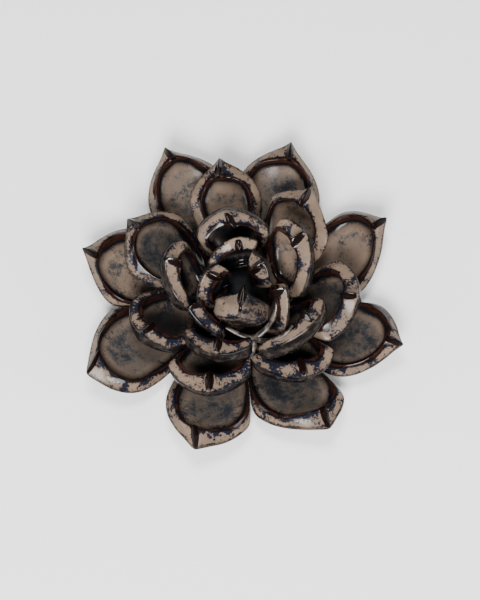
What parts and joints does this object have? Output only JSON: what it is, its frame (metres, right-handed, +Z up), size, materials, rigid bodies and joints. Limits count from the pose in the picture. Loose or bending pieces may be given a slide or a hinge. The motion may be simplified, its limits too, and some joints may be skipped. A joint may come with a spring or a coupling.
{
  "type": "ceramic succulent flower ornament",
  "caption": "Glazed ceramic echeveria rosette: whorls of thick dished leaves with pinched tips round a low hub, lying on a flat foot.",
  "frame": {"origin": "middle of the flat foot, on the surface that the flower lies on", "axes": "+Z up out of the face of the flower, +Y towards the gap between the two leaves at the top of the picture, +X to the right"},
  "size_m": [0.1197, 0.1201, 0.0458],
  "materials": {
    "glaze": "glossy warm grey glaze with blue speckle that breaks to rust brown on the edges",
    "clay": "bare fired stoneware on the foot, glazed above it"
  },
  "bodies": {
    "root": {"hub": "clay", "outer_leaf_1": "glaze", "outer_leaf_2": "glaze", "outer_leaf_3": "glaze", "outer_leaf_4": "glaze", "outer_leaf_5": "glaze", "outer_leaf_6": "glaze", "outer_leaf_7": "glaze", "outer_leaf_8": "glaze", "second_leaf_1": "glaze", "second_leaf_2": "glaze", "second_leaf_3": "glaze", "second_leaf_4": "glaze", "second_leaf_5": "glaze", "second_leaf_6": "glaze", "second_leaf_7": "glaze", "third_leaf_1": "glaze", "third_leaf_2": "glaze", "third_leaf_3": "glaze", "third_leaf_4": "glaze", "third_leaf_5": "glaze", "inner_leaf_1": "glaze", "inner_leaf_2": "glaze", "inner_leaf_3": "glaze", "inner_leaf_4": "glaze", "inner_leaf_5": "glaze", "bud_leaf": "glaze"}
  },
  "joints": []
}
